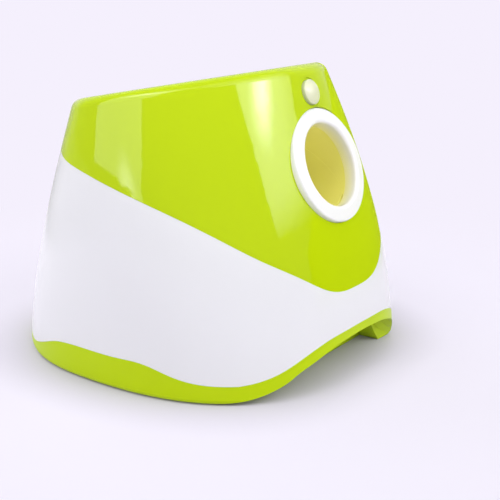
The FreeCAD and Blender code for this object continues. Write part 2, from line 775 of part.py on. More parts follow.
def ring_screws():
    seat = "ring_seat_depth + ring_boss_wall + flange_thickness"
    length = f"{seat} - ring_seat_depth + flange_thickness - fit_gap"
    screws = [screw(f"ring_screw_{number}", length, (x, seat, z), Y_AXIS * -1)
              for number, (x, z) in enumerate(RING_SPOKES_ACROSS)]
    return node(grouped("ring_screw_group", barrel, *screws), "ring_screws")


ring()
sleeve()
barrel_frame()
ring_screws()


# --- Wheels and motors ------------------------------------------------------

def wheel(side, sign):
    """Hub, tyre, shaft and motor of one launch wheel."""
    centre = barrel * FreeCAD.Placement(V(sign * size.wheel_spacing, size.wheel_depth, 0),
                                        FreeCAD.Rotation())
    half = "wheel_width / 2"
    rim = f"{half} - hub_rim_inset"
    low_collar = f"-{half} - hub_rim_inset"
    collar = "shaft_radius + hub_collar_wall"
    inner_rim = "hub_radius - hub_rim_thickness"
    hub_profile = [("shaft_radius", low_collar), (collar, low_collar), (collar, "-hub_half_web"),
                   (inner_rim, "-hub_half_web"), (inner_rim, f"-({rim})"),
                   ("hub_radius", f"-({rim})"), ("hub_radius", rim), (inner_rim, rim),
                   (inner_rim, "hub_half_web"), (collar, "hub_half_web"),
                   (collar, "hub_collar_rise"), ("shaft_radius", "hub_collar_rise")]
    node(turned(f"{side}_hub", hub_profile), f"{side}_wheel_hub", centre)
    waist = "wheel_radius - tyre_waist"
    tyre_profile = [("hub_radius", f"-{half}"), ("wheel_radius", f"-{half}"),
                    (waist, "-wheel_width / 8"), (waist, "wheel_width / 8"),
                    ("wheel_radius", half), ("hub_radius", half)]
    node(turned(f"{side}_tyre", tyre_profile), f"{side}_wheel_tyre", centre)
    shaft = cylinder(f"{side}_shaft", "shaft_radius", f"{WING_BASE} + shaft_depth + hub_collar_rise",
                     (0, 0, f"-({WING_BASE}) - shaft_depth"))
    node(grouped(f"{side}_shaft_group", centre, shaft), f"{side}_motor_shaft")
    bore = "shaft_radius + running_gap"
    top, bottom = f"-({WING_BASE})", f"-({WING_BASE}) - motor_length"
    blind = f"{top} - shaft_depth - fit_gap"
    cap = "motor_radius - motor_cap_inset"
    can_profile = [(0, blind), (0, bottom), (cap, bottom), (cap, f"{bottom} + motor_cap_height"),
                   ("motor_radius", f"{bottom} + motor_cap_height"), ("motor_radius", top),
                   ("motor_boss_radius", top), ("motor_boss_radius", f"{top} + motor_boss_height"),
                   (bore, f"{top} + motor_boss_height"), (bore, blind)]
    can = turned(f"{side}_can", can_profile)
    threads = [cylinder(f"{side}_thread_{end + 1}", "screw_radius", "motor_thread_depth",
                        (0, f"{end} * motor_screw_place", f"{top} - motor_thread_depth"))
               for end in (-1, 1)]
    tabs = [box(f"{side}_terminal_{end + 1}", "terminal_thickness", "terminal_width",
                "terminal_height", (f"{end} * terminal_place", 0, f"{bottom} - terminal_height"))
            for end in (-1, 1)]
    motor = fuse(f"{side}_motor_whole", cut(f"{side}_can_drilled", can, *threads), *tabs)
    node(motor, f"{side}_motor", centre)


def motor_screws():
    screws = [screw(f"motor_screw_{side}_{end + 1}", "wing_thickness + motor_thread_depth - 1",
                    (f"{sign} * wheel_spacing", f"wheel_depth + {end} * motor_screw_place",
                     "-wing_drop"), Z_AXIS * -1)
              for side, sign in SIDES for end in (-1, 1)]
    return node(grouped("motor_screw_group", barrel, *screws), "motor_screws")


def frame_screws():
    screws = [screw(f"frame_screw_{side}_{number}", "wing_thickness + thread_depth - 1",
                    (f"{sign} * ({x})", y, "-wing_drop"), Z_AXIS * -1)
              for side, sign in SIDES for number, (x, y) in enumerate(POST_PLACES)]
    return node(grouped("frame_screw_group", barrel, *screws), "frame_screws")


for side, sign in SIDES:
    wheel(side, sign)
motor_screws()
frame_screws()


# --- Feed arm and ball sensor -----------------------------------------------

def feed():
    """Gearmotor behind the barrel and the arm that pushes the ball to the wheels."""
    depth, height = FEED_PIVOT
    behind = "barrel_end_depth + barrel_wall"
    case = box("gear_case", "gear_case_width", "gear_case_height", "gear_case_height",
               ("gear_case_place", f"{behind} + gear_case_height / 2",
                f"{height} - gear_case_height / 2"))
    can = cylinder("gear_can", "gear_can_radius", "gear_can_length",
                   ("gear_case_place + gear_case_width / 2", f"{behind} + gear_case_height / 2",
                    height), X_AXIS)
    shaft_end = "feed_shaft_length - feed_hub_length / 2 - 2"
    bore = cylinder("gear_bore", "feed_shaft_radius + running_gap", shaft_end,
                    ("running_gap * 2", depth, height), X_AXIS)
    node(cut("gearmotor_cut", fuse("gearmotor_whole", case, can), bore), "feed_gearmotor", barrel)
    shaft = cylinder("feed_shaft_bar", "feed_shaft_radius", "feed_shaft_length",
                     ("-feed_hub_length / 2 - 2", depth, height), X_AXIS)
    node(grouped("feed_shaft_group", barrel, shaft), "feed_shaft")
    hub = cylinder("arm_hub", "feed_hub_radius", "feed_hub_length",
                   ("-feed_hub_length / 2", depth, height), X_AXIS)
    tip = f"{height} - feed_arm_length"
    finger = box("arm_finger", "feed_arm_width", "feed_arm_thickness", "feed_arm_length",
                 (0, f"{behind} + feed_arm_setback + feed_arm_thickness / 2", tip))
    pad = box("arm_pad", "feed_arm_width", "barrel_wall + feed_arm_setback + feed_pad_reach",
              "feed_pad_height",
              (0, f"{behind} + feed_arm_setback - (barrel_wall + feed_arm_setback) / 2", tip))
    hole = cylinder("arm_bore", "feed_shaft_radius", "2 * feed_hub_length",
                    ("-feed_hub_length", depth, height), X_AXIS)
    node(cut("arm_cut", fuse("arm_whole", hub, finger, pad), hole), "feed_arm", barrel)


def sensor():
    """Ball switch under the cradle, with a lever that the ball presses."""
    depth, height = LEVER_PIVOT
    case = box("switch_case", "switch_width", "switch_length", "switch_height",
               (0, "switch_place", "-switch_drop - switch_height"))
    cheeks = [box(f"switch_cheek_{side}", "cheek_thickness", "cheek_width",
                  "cheek_height + switch_height / 2",
                  (f"{sign} * (switch_width - cheek_thickness) / 2", depth,
                   "-switch_drop - switch_height / 2"))
              for side, sign in SIDES]
    bore = cylinder("cheek_bore", "lever_pin_radius + running_gap", "2 * switch_width",
                    ("-switch_width", depth, height), X_AXIS)
    node(cut("switch_cut", fuse("switch_whole", case, *cheeks), bore), "ball_switch", barrel)
    arm = box("lever_arm", "lever_width", "lever_length", "lever_thickness",
              (0, f"{depth} + lever_length / 2", f"{height} - lever_thickness / 2"))
    hub = cylinder("lever_hub", "lever_hub_radius", "lever_width",
                   ("-lever_width / 2", depth, height), X_AXIS)
    pin = cylinder("lever_pin", "lever_pin_radius", "switch_width - 2 * running_gap",
                   ("-switch_width / 2 + running_gap", depth, height), X_AXIS)
    bump = cylinder("lever_bump", "lever_bump_radius", "lever_width",
                    ("-lever_width / 2", f"{depth} + lever_bump_setback",
                     f"{height} + lever_bump_radius - lever_thickness / 2"), X_AXIS)
    node(fuse("lever_whole", arm, hub, pin, bump), "ball_switch_lever", barrel)


feed()
sensor()


# --- Power button ------------------------------------------------------------

BUTTON_BOARD_WIDTH = "2 * (button_post_place + button_board_margin)"


def button():
    """Domed cap, return spring, tact switch and the small board behind them."""
    dome = "(button_radius ^ 2 + button_dome ^ 2) / (2 * button_dome)"
    crown = "button_dome + button_crown_rise"
    rim_end = "button_rim_depth + button_rim_thickness"
    side = cylinder("cap_side", "button_radius", f"{rim_end} + 2 * button_dome",
                    (0, "-2 * button_dome", 0), Y_AXIS)
    ball = doc.addObject("Part::Sphere", "cap_dome")
    ball.setExpression("Radius", cell(dome))
    place(ball, (0, f"({dome}) - ({crown})", 0))
    rim = cylinder("cap_rim", "button_radius + button_rim_width", "button_rim_thickness",
                   (0, "button_rim_depth", 0), Y_AXIS)
    hollow = cylinder("cap_hollow", "button_radius - button_wall", rim_end,
                      (0, "button_crown_wall", 0), Y_AXIS)
    stem = cylinder("cap_stem", "button_stem_radius", "button_stem_end - button_crown_wall / 2",
                    (0, "button_crown_wall / 2", 0), Y_AXIS)
    shell = cut("cap_shell", fuse("cap_blank", common("cap_front", side, ball), rim), hollow)
    node(fuse("cap_whole", shell, stem), "power_button", button_frame)
    spring = feature("button_coil", coil(
        size.button_coil_radius, size.button_wire_radius, 4,
        size.button_board_depth - size.button_crown_wall - 2 * size.contact_gap))
    spring.Placement = FreeCAD.Placement(V(0, size.button_crown_wall + size.contact_gap, 0),
                                         toward(Y_AXIS))
    node(grouped("button_spring_group", button_frame, spring), "button_spring")
    board = box("button_board_plate", BUTTON_BOARD_WIDTH, "board_thickness", "button_board_height",
                (0, "button_board_depth + board_thickness / 2", "-button_board_height / 2"))
    holes = [cylinder(f"button_board_hole_{side}", "button_screw_radius", "4 * board_thickness",
                      (f"{sign} * button_post_place", "button_board_depth - board_thickness", 0),
                      Y_AXIS) for side, sign in SIDES]
    node(cut("button_board_cut", board, *holes), "button_board", button_frame)
    case = box("tact_case", "tact_width", "tact_height", "tact_width",
               (0, "button_board_depth - tact_height / 2", "-tact_width / 2"))
    plunger = cylinder("tact_plunger", "plunger_radius", "plunger_height + running_gap",
                       (0, "button_board_depth - tact_height - plunger_height", 0), Y_AXIS)
    node(fuse("tact_whole", case, plunger), "button_switch", button_frame)
    head = "-board_thickness"
    profile = [(0, head), ("button_screw_head", head), ("button_screw_head", 0),
               ("button_screw_radius", 0), ("button_screw_radius", "button_screw_length"),
               (0, "button_screw_length")]
    screws = [turned(f"button_screw_{side}", profile,
                     (f"{sign} * button_post_place", "button_board_depth + board_thickness", 0),
                     Y_AXIS * -1) for side, sign in SIDES]
    node(grouped("button_screw_group", button_frame, *screws), "button_screws")


button()


# --- Top shell ----------------------------------------------------------------

def top_outline(inset):
    """The body's top outline drawn in by an inset, in its own proportions."""
    poles = outline(size.top_height)
    front, back = poles[0][1], poles[6][1]
    middle, half_depth = (front + back) / 2, (back - front) / 2
    half_width = poles[3][0]
    across = 1 - inset / half_width
    along = 1 - inset / half_depth
    return [(x * across, middle + (y - middle) * along) for x, y in poles]


def inset_prism(inset, low, high):
    """An upright prism under the drawn-in top outline."""
    poles = [V(x, y, low) for x, y in top_outline(inset)]
    spline = Part.BSplineCurve()
    spline.buildFromPolesMultsKnots(poles, [1] * (len(poles) + 1), list(range(len(poles) + 1)), True, 3)
    return Part.Face(Part.Wire([spline.toShape()])).extrude(V(0, 0, high - low))


# Tools that enter the wall from outside start this far in front of it.
OUTSIDE = "3 * ring_seat_depth"
BEFORE = (0, f"-{OUTSIDE}", 0)


def top_shell():
    """The moulded top: its bosses are what its cavity leaves standing."""
    ring_boss = cylinder("ring_boss_post", "ring_radius + fit_gap + ring_boss_wall",
                         f"ring_seat_depth + ring_boss_wall + {OUTSIDE}", BEFORE, Y_AXIS)
    sleeve_bore = "button_radius + button_rim_width + fit_gap"
    shoulder = (0, "button_rim_depth - fit_gap", 0)
    sleeve_wall = cut("button_sleeve_wall",
                      cylinder("button_sleeve_post", "button_radius + button_sleeve_wall",
                               f"button_board_depth - button_screw_radius * 2 + {OUTSIDE}", BEFORE,
                               Y_AXIS),
                      cylinder("button_sleeve_bore", sleeve_bore, OUTSIDE, shoulder, Y_AXIS))
    posts = [cylinder(f"button_post_{side}", "button_post_radius", f"button_board_depth + {OUTSIDE}",
                      (f"{sign} * button_post_place", f"-{OUTSIDE}", 0), Y_AXIS)
             for side, sign in SIDES]
    cavity = cut("top_cavity", inner_form, grouped("ring_boss", barrel, ring_boss),
                 grouped("button_boss", button_frame, sleeve_wall, *posts))
    ring_tools = [cylinder("ring_recess", "ring_radius + seam_gap", f"ring_seat_depth + {OUTSIDE}",
                           BEFORE, Y_AXIS),
                  cylinder("ring_hole", "barrel_bore_radius + barrel_wall + seam_gap",
                           f"2 * {OUTSIDE}", BEFORE, Y_AXIS)]
    ring_tools += [cylinder(f"ring_boss_hole_{number}", "screw_radius + seam_gap",
                            "2 * ring_boss_wall", (x, "ring_seat_depth - ring_boss_wall / 2", z), Y_AXIS)
                   for number, (x, z) in enumerate(RING_SPOKES_ACROSS)]
    button_tools = [cylinder("button_recess", "button_recess_radius",
                             f"button_recess_depth + {OUTSIDE}", BEFORE, Y_AXIS),
                    cylinder("button_hole", "button_radius + button_gap",
                             f"button_rim_depth + {OUTSIDE}", BEFORE, Y_AXIS),
                    cylinder("button_bore", sleeve_bore, "button_board_depth", shoulder, Y_AXIS)]
    button_tools += [cylinder(f"button_post_hole_{side}", "button_screw_radius", "button_board_depth",
                              (f"{sign} * button_post_place",
                               "button_board_depth + board_thickness - button_screw_length", 0),
                              Y_AXIS) for side, sign in SIDES]
    opening = feature("hopper_opening", inset_prism(size.hopper_inset, size.throat_top,
                                                    2 * size.top_height))
    under_seam = feature("under_seam", side_prism(SHELL_SEAM, size.seam_gap))
    for_ring = grouped("ring_tools", barrel, fuse("ring_tool_set", *ring_tools))
    for_button = grouped("button_tools", button_frame, fuse("button_tool_set", *button_tools))
    piece = outer_form
    for number, tool in enumerate((under_seam, cavity, opening, for_ring, for_button)):
        piece = cut(f"top_cut_{number}", piece, tool)
    return node(piece, "top_shell")


top_shell()


# --- Hopper ---------------------------------------------------------------------

def bowl(grow, top_drop, floor_drop):
    """The funnel from the top opening down to the round throat."""
    rim = top_outline(size.hopper_inset - grow)
    count = len(rim)
    # A closed cubic spline on evenly spread poles runs inside them by this share.
    share = (4 + 2 * math.cos(2 * math.pi / count)) / 6
    ring_radius = (size.throat_radius - size.throat_lead + 1.5 * grow) / share
    throat_y = size.barrel_start_y + size.throat_depth * math.cos(tilt)
    low = size.throat_top - floor_drop
    rows = []
    for step in (0, 1 / 3, 2 / 3, 1):
        row = []
        for number, (x, y) in enumerate(rim):
            turn = 2 * math.pi * number / count
            end = V(ring_radius * math.sin(turn), throat_y - ring_radius * math.cos(turn), low)
            start = V(x, y, top_plane(y, top_drop))
            spread = 1 - step ** 2
            fall = step * (1.35 - 0.35 * step)
            row.append(V(end.x + (start.x - end.x) * spread, end.y + (start.y - end.y) * spread,
                         start.z + (end.z - start.z) * fall))
        rows.append(row)
    surface = skin_surface(rows[::-1])
    surface.setUNotPeriodic()
    # One patch for each span, because a patch that closes on itself is trimmed less exactly.
    patches = [surface.copy() for number in range(count)]
    for number, patch in enumerate(patches):
        patch.segment(number, number + 1, 0, 1)
    return closed_solid(patches, [[patch.vIso(end) for patch in patches] for end in (0, 1)])


def hopper():
    drop = size.shell_wall
    throat_y = size.barrel_start_y + size.throat_depth * math.cos(tilt)
    funnel = bowl(size.hopper_wall, drop, size.hopper_wall)
    slab = inset_prism(size.hopper_inset - size.hopper_flange, size.throat_top, 2 * size.top_height)
    flange = under_top(slab, drop).cut(under_top(slab, drop + size.hopper_wall))
    inside = bowl(0.0, drop, 0.0)
    blank = feature("hopper_blank", funnel.fuse(flange).cut(inside))
    low = "ring_height - flange_radius"
    throat_place = (0, f"barrel_start_y + throat_depth * {math.cos(tilt):.6f}", low)
    tube = cylinder("throat_tube", "throat_radius + hopper_wall",
                    f"throat_top - hopper_wall / 2 - ({low})", throat_place)
    bore = cylinder("throat_bore", "throat_radius", f"throat_top + 1 - ({low})", throat_place)
    clear = grouped("throat_clear", barrel, fuse(
        "throat_clear_set",
        cylinder("throat_saddle", "barrel_bore_radius + barrel_wall + fit_gap",
                 "2 * barrel_end_depth", (0, 0, 0), Y_AXIS),
        box("throat_floor_clear", "4 * throat_radius", "4 * barrel_end_depth", "2 * flange_radius",
            (0, 0, "-2 * flange_radius + wheel_width / 2 + 3"))))
    piece = cut("hopper_cut", fuse("hopper_whole", blank, tube), bore, clear)
    return node(piece, "hopper")


hopper()


# --- Body shell, battery door and its hinge ---------------------------------------

BOSS_PLACES = [(112, -32), (100, 66)]


def bay_block(name, shrink, near, far):
    """A block behind the battery window, from near to far along the bay's depth."""
    return box(name, f"2 * (bay_half_width - {shrink})", f"{far} - ({near})",
               f"2 * (bay_half_height - {shrink})",
               (0, f"(({near}) + ({far})) / 2", f"-(bay_half_height - {shrink})"))


HALF_KNUCKLE = "hinge_half_length / 2"
DOOR_SCREW_PLACE = "bay_half_height - door_screw_inset"
CLEAR_OF_WALL = "2 * bay_rim_depth"


def on_hinge(name, radius, start, end):
    """A cylinder on the door's hinge line, along the bay's lower edge."""
    return cylinder(name, radius, f"{end} - ({start})", (start, "hinge_depth", "-bay_half_height"),
                    X_AXIS)


def case_knuckles(name, grow):
    """The two outer knuckles, or with a growth the room they need in the door."""
    radius = f"hinge_knuckle_radius + {grow}"
    near, far = f"{HALF_KNUCKLE} + seam_gap - {grow}", f"hinge_half_length + {grow}"
    return [on_hinge(f"{name}_left", radius, f"-({far})", f"-({near})"),
            on_hinge(f"{name}_right", radius, near, far)]


def body_shell():
    """The white lower case, with the lip that the top shell drops over."""
    lip_out = size.shell_wall + size.seam_gap
    above = side_prism(SHELL_SEAM, size.lip_height)
    lip = form(lip_out).cut(form(lip_out + size.lip_wall)).common(above).cut(below_seam)
    root = form(size.shell_wall - size.lip_wall / 2).cut(form(lip_out + size.lip_wall))
    root = root.common(below_seam).cut(side_prism(SHELL_SEAM, -size.lip_height))
    blank = wall.common(below_seam).fuse([root, lip]).cut(above_base)
    posts, ribs = [], []
    for side, sign in SIDES:
        for number, (x, y) in enumerate(BOSS_PLACES):
            posts.append(cylinder(f"case_post_{side}_{number}", "screw_radius + post_wall",
                                  "case_post_height", (sign * x, y, "base_floor + seam_gap")))
            ribs.append(box(f"case_rib_{side}_{number}", "2 * case_rib_reach", "case_rib_thickness",
                            "case_rib_height", (f"{sign} * ({x} + case_rib_reach)", y, "case_rib_floor")))
    inside = feature("inside_of_case", form(size.base_wall + size.seam_gap))
    standing = common("case_posts", fuse("case_post_set", *posts, *ribs), inside)
    wall_zone = feature("case_wall_zone", form(size.shell_wall / 2).cut(above_base))
    rooted = common("case_ribs", fuse("case_rib_set", *ribs), wall_zone)
    skirt = grouped("bay_skirt", bay, cut(
        "bay_skirt_cut", bay_block("bay_skirt_block", "-bay_skirt_wall", "-bay_skirt_depth", CLEAR_OF_WALL),
        bay_block("bay_skirt_hole", "0", "-2 * bay_skirt_depth", CLEAR_OF_WALL)))
    frame = common("bay_frame", skirt, feature("case_outer", outer.copy()))
    window = grouped("bay_window", bay, bay_block("bay_window_block", "0", "-2 * bay_skirt_depth",
                                                  CLEAR_OF_WALL))
    ears = grouped("case_ears", bay, *case_knuckles("case_knuckle", 0))
    window = fuse("bay_opening", window, grouped("door_knuckle_room", bay, on_hinge(
        "door_knuckle_space", "hinge_knuckle_radius + fit_gap",
        f"-{HALF_KNUCKLE} - fit_gap", f"{HALF_KNUCKLE} + fit_gap")))
    pin_hole = grouped("case_pin_hole", bay, on_hinge(
        "case_pin_bore", "hinge_pin_radius", "-2 * hinge_half_length", "2 * hinge_half_length"))
    holes = [cylinder(f"case_screw_hole_{side}_{number}", "screw_radius", "base_screw_length",
                      (sign * x, y, "foot_pad_height"))
             for side, sign in SIDES for number, (x, y) in enumerate(BOSS_PLACES)]
    inlet_boss = common("inlet_boss", feature("inlet_boss_zone", form(size.shell_wall / 2)),
                        grouped("inlet_boss_frame", inlet_frame,
                                cylinder("inlet_boss_post", "inlet_radius + inlet_boss_wall",
                                         "inlet_boss_height")))
    inlet_tools = grouped("inlet_tools", inlet_frame,
                          fuse("inlet_tool_set",
                               cylinder("inlet_recess", "inlet_radius + inlet_flange + fit_gap",
                                        "inlet_length + inlet_sink + inlet_flange_thickness",
                                        (0, 0, "-inlet_length")),
                               cylinder("inlet_hole", "inlet_radius + seam_gap", "2 * inlet_length",
                                        (0, 0, "-inlet_length"))))
    whole = fuse("case_whole", feature("case_blank", blank), standing, rooted, frame, inlet_boss)
    piece = cut("case_opened", whole, window)
    piece = fuse("case_eared", piece, ears)
    for number, tool in enumerate((pin_hole, fuse("case_screw_holes", *holes), inlet_tools)):
        piece = cut(f"case_cut_{number}", piece, tool)
    return node(piece, "body_shell")


def battery_door():
    """The curved door cut from the same wall, its hinge pin and its screw."""
    block = bay_block("door_block", "door_gap", "-2 * bay_skirt_depth", CLEAR_OF_WALL)
    slab = common("door_slab", outer_form, grouped("door_frame", bay, block))
    skin = cut("door_skin", slab, inner_form)
    leaf = grouped("door_leaf", bay, fuse(
        "door_leaf_set",
        on_hinge("door_knuckle", "hinge_knuckle_radius", f"-{HALF_KNUCKLE}", HALF_KNUCKLE),
        box("door_web", "hinge_half_length", "door_web_thickness", "door_web_height",
            (0, "hinge_depth - hinge_knuckle_radius + door_web_thickness / 2", "-bay_half_height"))))
    pocket_depth = "-door_screw_sink"
    bore = grouped("door_bore", bay, fuse(
        "door_bore_set",
        on_hinge("door_pin_bore", "hinge_pin_radius + running_gap", "-2 * hinge_half_length",
                 "2 * hinge_half_length"),
        cylinder("door_screw_hole", "screw_radius + seam_gap", "2 * door_screw_length",
                 (0, "-door_screw_length", DOOR_SCREW_PLACE), Y_AXIS),
        cylinder("door_screw_pocket", "screw_head_radius + fit_gap", CLEAR_OF_WALL,
                 (0, pocket_depth, DOOR_SCREW_PLACE), Y_AXIS),
        *case_knuckles("door_notch", "fit_gap")))
    node(cut("door_cut", fuse("door_whole", skin, leaf), bore), "battery_door")
    pin = on_hinge("door_pin_bar", "hinge_pin_radius", "-hinge_half_length", "hinge_half_length")
    node(grouped("door_pin_group", bay, pin), "door_hinge_pin")
    node(grouped("door_screw_group", bay, screw("door_screw_turned", "door_screw_length",
                                                (0, pocket_depth, DOOR_SCREW_PLACE),
                                                Y_AXIS * -1)), "door_screw")


def battery_box():
    """Open tray for two columns of three cells, with its contacts."""
    outside = bay_block("box_block", "fit_gap", "-bay_depth", "-bay_rim_depth")
    inside = bay_block("box_hollow", "fit_gap + bay_wall", "-bay_depth + bay_wall", 0)
    rib = box("box_rib", "box_rib_width", "bay_depth - bay_rim_depth - box_rib_drop",
              "2 * (bay_half_height - fit_gap)",
              (0, "-(bay_depth + bay_rim_depth) / 2", "-(bay_half_height - fit_gap)"))
    boss = cylinder("box_screw_boss", "box_boss_radius", "box_boss_depth",
                    (0, "-bay_rim_depth", DOOR_SCREW_PLACE), Y_AXIS * -1)
    hole = cylinder("box_screw_hole", "screw_radius + seam_gap", "2 * box_boss_depth",
                    (0, "-bay_rim_depth + box_boss_depth / 2", DOOR_SCREW_PLACE), Y_AXIS * -1)
    tray = cut("box_cut", fuse("box_whole", cut("box_shell", outside, inside), rib, boss), hole)
    node(tray, "battery_box", bay)
    depth = "-bay_depth + bay_wall + cell_radius + fit_gap"
    # Each column of cells lies between the middle rib and the side wall, and
    # its contacts stand on both; a spring takes up the room at the minus end.
    column = "(bay_half_width - fit_gap - bay_wall + box_rib_width / 2) / 2"
    half_room = (size.bay_half_width - size.fit_gap - size.bay_wall - size.box_rib_width / 2) / 2
    plus_end = half_room - size.contact_thickness - size.fit_gap
    spring_height = plus_end + half_room - size.contact_thickness - size.cell_length
    cells, springs, plates = [], [], []
    for side, sign in SIDES:
        for row in (-1, 0, 1):
            name = f"{side}_{row + 1}"
            # Neighbouring cells point opposite ways, so the plus ends alternate.
            flip = 1 if (row + (sign > 0)) % 2 else -1
            middle = f"{sign} * ({column})"
            height = f"{row} * cell_pitch"
            can = cylinder(f"cell_can_{name}", "cell_radius", "cell_length - cell_nub_height",
                           (f"{middle} + {flip} * ({plus_end} - cell_length)", depth, height),
                           X_AXIS * flip)
            nub = cylinder(f"cell_nub_{name}", "cell_nub_radius", "2 * cell_nub_height",
                           (f"{middle} + {flip} * ({plus_end} - 2 * cell_nub_height)", depth, height),
                           X_AXIS * flip)
            cells.append(fuse(f"cell_{name}", can, nub))
            spring = feature(f"contact_coil_{name}", coil(
                size.contact_coil_radius, size.contact_wire_radius, 3,
                spring_height - 2 * size.contact_gap))
            spring.Placement = FreeCAD.Placement(V(0, 0, 0), toward(X_AXIS * flip))
            place(spring, (f"{middle} + {flip} * ({plus_end - spring_height} - cell_length + contact_gap)",
                           depth, height))
            springs.append(spring)
            for end in (-1, 1):
                plates.append(box(
                    f"contact_plate_{name}_{end + 1}", "contact_thickness", "contact_width",
                    "contact_width",
                    (f"{middle} + {end} * ({half_room} - contact_thickness / 2)", depth,
                     f"{height} - contact_width / 2")))
    node(grouped("cell_group", bay, *cells), "battery_cells")
    node(grouped("contact_spring_group", bay, *springs), "battery_springs")
    node(grouped("contact_plate_group", bay, *plates), "battery_contacts")


body_shell()
battery_door()
battery_box()


# --- Power inlet --------------------------------------------------------------------

def inlet():
    """Barrel-type DC socket in the right side wall, with its nut."""
    flange = "inlet_radius + inlet_flange"
    seat = "inlet_sink + inlet_flange_thickness"
    profile = [(0, "inlet_bore_depth"), ("inlet_bore_radius", "inlet_bore_depth"),
               ("inlet_bore_radius", "inlet_sink"), (flange, "inlet_sink"), (flange, seat),
               ("inlet_radius", seat), ("inlet_radius", "inlet_length"), (0, "inlet_length")]
    socket = turned("inlet_body", profile)
    pin = cylinder("inlet_pin", "inlet_pin_radius", "inlet_pin_length",
                   (0, 0, "inlet_bore_depth - inlet_pin_length + running_gap"))
    node(fuse("inlet_whole", socket, pin), "power_inlet", inlet_frame)
    nut_seat = "inlet_boss_height + running_gap"
    nut_end = f"{nut_seat} + inlet_nut_height"
    nut = [("inlet_radius", nut_seat), ("inlet_radius + inlet_nut_width", nut_seat),
           ("inlet_radius + inlet_nut_width", nut_end), ("inlet_radius", nut_end)]
    node(turned("inlet_nut_ring", nut), "inlet_nut", inlet_frame)


inlet()


# --- Base, feet and control board -----------------------------------------------------

PAD_PLACES = [(80, -88), (84, 92)]
BOARD_CORNERS = [(f"{sign} * (board_width / 2 - board_screw_inset)",
                  f"board_place + {end} * (board_length / 2 - board_screw_inset)")
                 for side, sign in SIDES for end in (-1, 1)]
INTO_FLOOR = "0.75 * base_floor"


def base():
    """The lime tray with its front arch, posts for the barrel and the board."""
    block = outer.common(base_zone).cut(arch_solid(0.0))
    hollow = above_level(form(size.base_wall), size.base_floor).cut(arch_solid(size.base_wall))
    blank = feature("base_blank", block.cut(hollow))
    posts = []
    for side, sign in SIDES:
        for number, (x, y) in enumerate(POST_PLACES):
            depth = float(sheet.evalExpression(cell(y)))
            spot = barrel.multVec(V(0, depth, -size.wing_drop - size.wing_thickness))
            posts.append(cylinder(f"frame_post_{side}_{number}", "screw_radius + post_wall",
                                  "ring_height", (f"{sign} * ({x})", round(spot.y, 3), INTO_FLOOR)))
    over_wing = grouped("over_wing", barrel, box(
        "over_wing_block", "4 * wing_half_width", "4 * barrel_end_depth", "ring_height",
        (0, 0, f"-({WING_BASE})")))
    tall = cut("frame_posts", fuse("frame_post_set", *posts), over_wing)
    board_posts = [cylinder(f"board_post_{number}", "board_post_radius",
                            "board_clearance + base_floor / 4", (x, y, INTO_FLOOR))
                   for number, (x, y) in enumerate(BOARD_CORNERS)]
    whole = fuse("base_whole", blank, tall, *board_posts)
    tools = []
    for side, sign in SIDES:
        for number, (x, y) in enumerate(PAD_PLACES):
            tools.append(cylinder(f"pad_recess_{side}_{number}", "foot_pad_radius + seam_gap",
                                  "2 * foot_pad_height", (sign * x, y, "-foot_pad_height")))
        for number, (x, y) in enumerate(BOSS_PLACES):
            tools.append(cylinder(f"base_hole_{side}_{number}", "screw_radius + seam_gap",
                                  "base_floor + 2 * foot_pad_height", (sign * x, y, "-foot_pad_height")))
            tools.append(cylinder(f"base_pocket_{side}_{number}", "screw_head_radius + seam_gap",
                                  "2 * foot_pad_height", (sign * x, y, "-foot_pad_height")))
    for number, (x, y) in enumerate(BOARD_CORNERS):
        tools.append(cylinder(f"board_thread_{number}", "screw_radius", "thread_depth",
                              (x, y, "base_floor + board_clearance - thread_depth + running_gap")))
    threads = grouped("frame_threads", barrel, *[
        cylinder(f"frame_thread_{side}_{number}", "screw_radius", "thread_depth + wing_thickness",
                 (f"{sign} * ({x})", y, f"-({WING_BASE}) - thread_depth"))
        for side, sign in SIDES for number, (x, y) in enumerate(POST_PLACES)])
    piece = cut("base_cut_0", whole, fuse("base_tool_set", *tools))
    piece = cut("base_cut_1", piece, threads)
    node(piece, "base")
    pads = [cylinder(f"foot_pad_{side}_{number}", "foot_pad_radius", "foot_pad_height",
                     (sign * x, y, 0)) for side, sign in SIDES for number, (x, y) in enumerate(PAD_PLACES)]
    node(grouped("foot_pad_group", HERE, *pads), "rubber_feet")
    screws = [screw(f"base_screw_{side}_{number}", "base_screw_length", (sign * x, y, "foot_pad_height"))
              for side, sign in SIDES for number, (x, y) in enumerate(BOSS_PLACES)]
    node(grouped("base_screw_group", HERE, *screws), "base_screws")


